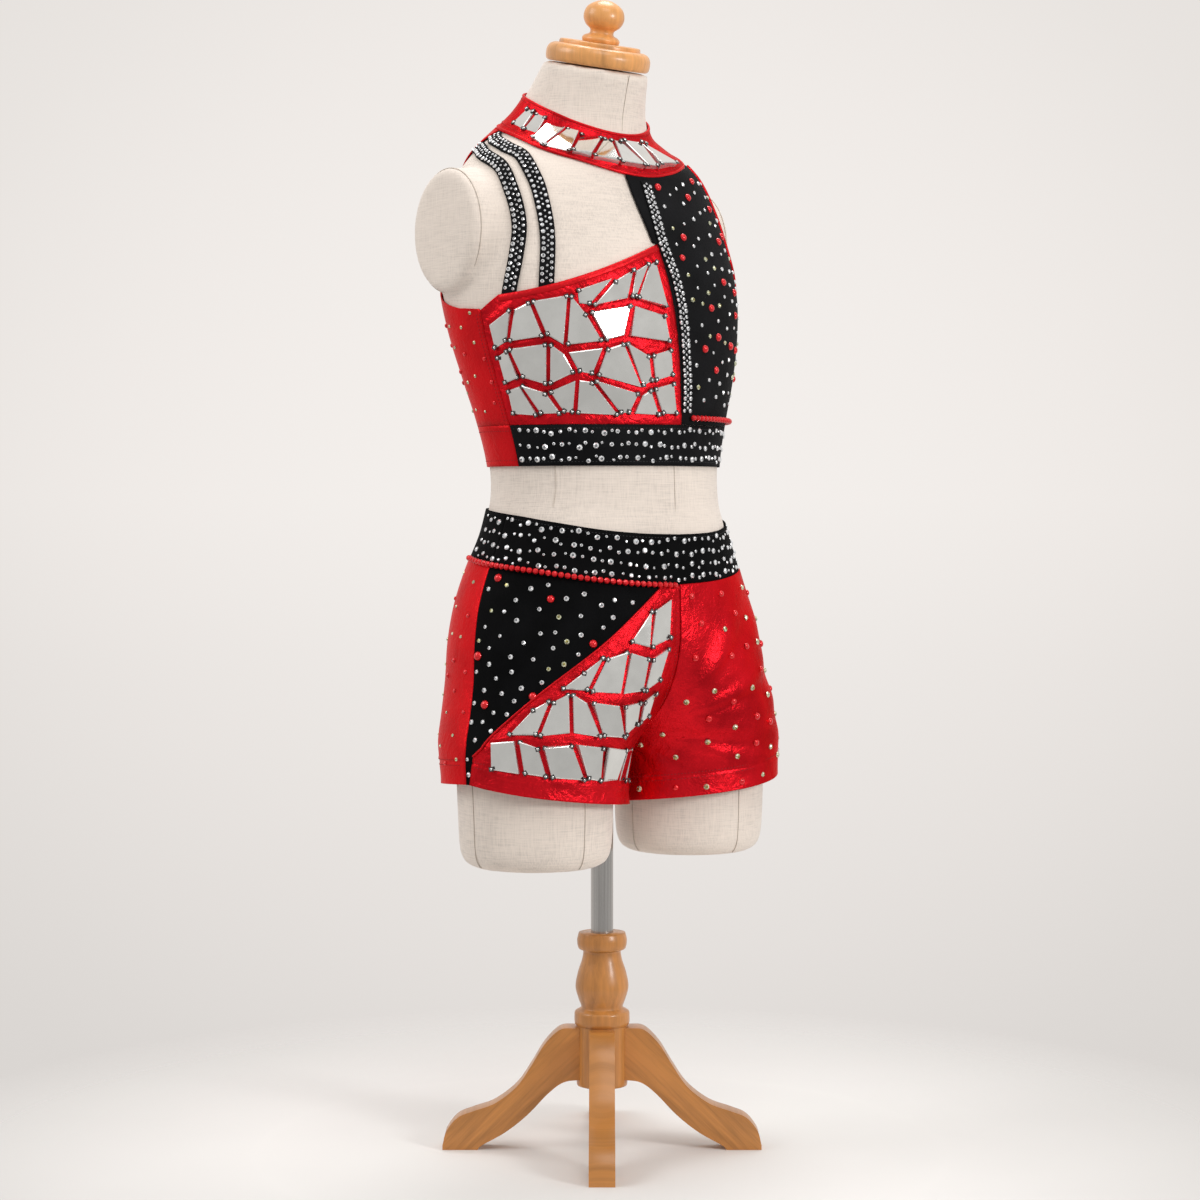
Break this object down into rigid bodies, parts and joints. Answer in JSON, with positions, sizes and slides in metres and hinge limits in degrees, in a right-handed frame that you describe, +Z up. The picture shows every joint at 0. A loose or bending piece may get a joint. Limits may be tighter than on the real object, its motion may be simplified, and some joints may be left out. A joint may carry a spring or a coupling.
{
  "type": "two-piece dance costume on a dress form",
  "caption": "Cropped asymmetric dance top and shorts set with mirror pieces, on a limbless linen dress form with a turned wooden stand.",
  "frame": {"origin": "on the floor under the middle of the pole", "axes": "+Z up, the wearer's front faces -Y, the wearer's right is at -X"},
  "size_m": [0.3328, 0.2342, 1.003],
  "materials": {
    "linen": "woven linen cover",
    "wood": "varnished",
    "steel": "brushed",
    "foil": "red foil stretch cloth with mirror pieces",
    "satin": "red foil stretch cloth",
    "black": "matte stretch cloth",
    "crystal": "rows of clear crystals",
    "beads": "faceted red beads"
  },
  "bodies": {
    "stand": {"stand_post": "wood", "stand_leg_1": "wood", "stand_leg_2": "wood", "stand_leg_3": "wood", "stand_leg_4": "wood"},
    "pole": {"pole": "steel"},
    "form": {"form_body": "linen", "neck_cap": "wood", "neck_finial": "wood", "top_collar": "foil", "top_mirror_panel": "foil", "top_neckline_binding": "satin", "top_halter_panel": "black", "top_halter_trim": "crystal", "top_armhole_piping": "satin", "top_strap_outer": "black", "top_strap_inner": "black", "top_band_front": "black", "top_band_back": "satin", "top_back_panel": "satin", "top_bead_rope": "beads", "shorts_waistband_front": "black", "shorts_waistband_back": "black", "shorts_bead_rope": "beads", "shorts_black_panel": "black", "shorts_mirror_panel": "foil", "shorts_front_left": "foil", "shorts_back_right": "satin", "shorts_back_left": "satin"}
  },
  "joints": [
    {"name": "height_slide", "type": "slide", "parent": "stand", "child": "pole", "axis": [0, 0, 1], "range_m": [-0.044, 0.05]},
    {"name": "form_turn", "type": "hinge", "parent": "pole", "child": "form", "pos_m": [0, 0, 0.4], "axis": [0, 0, 1], "continuous": true}
  ]
}
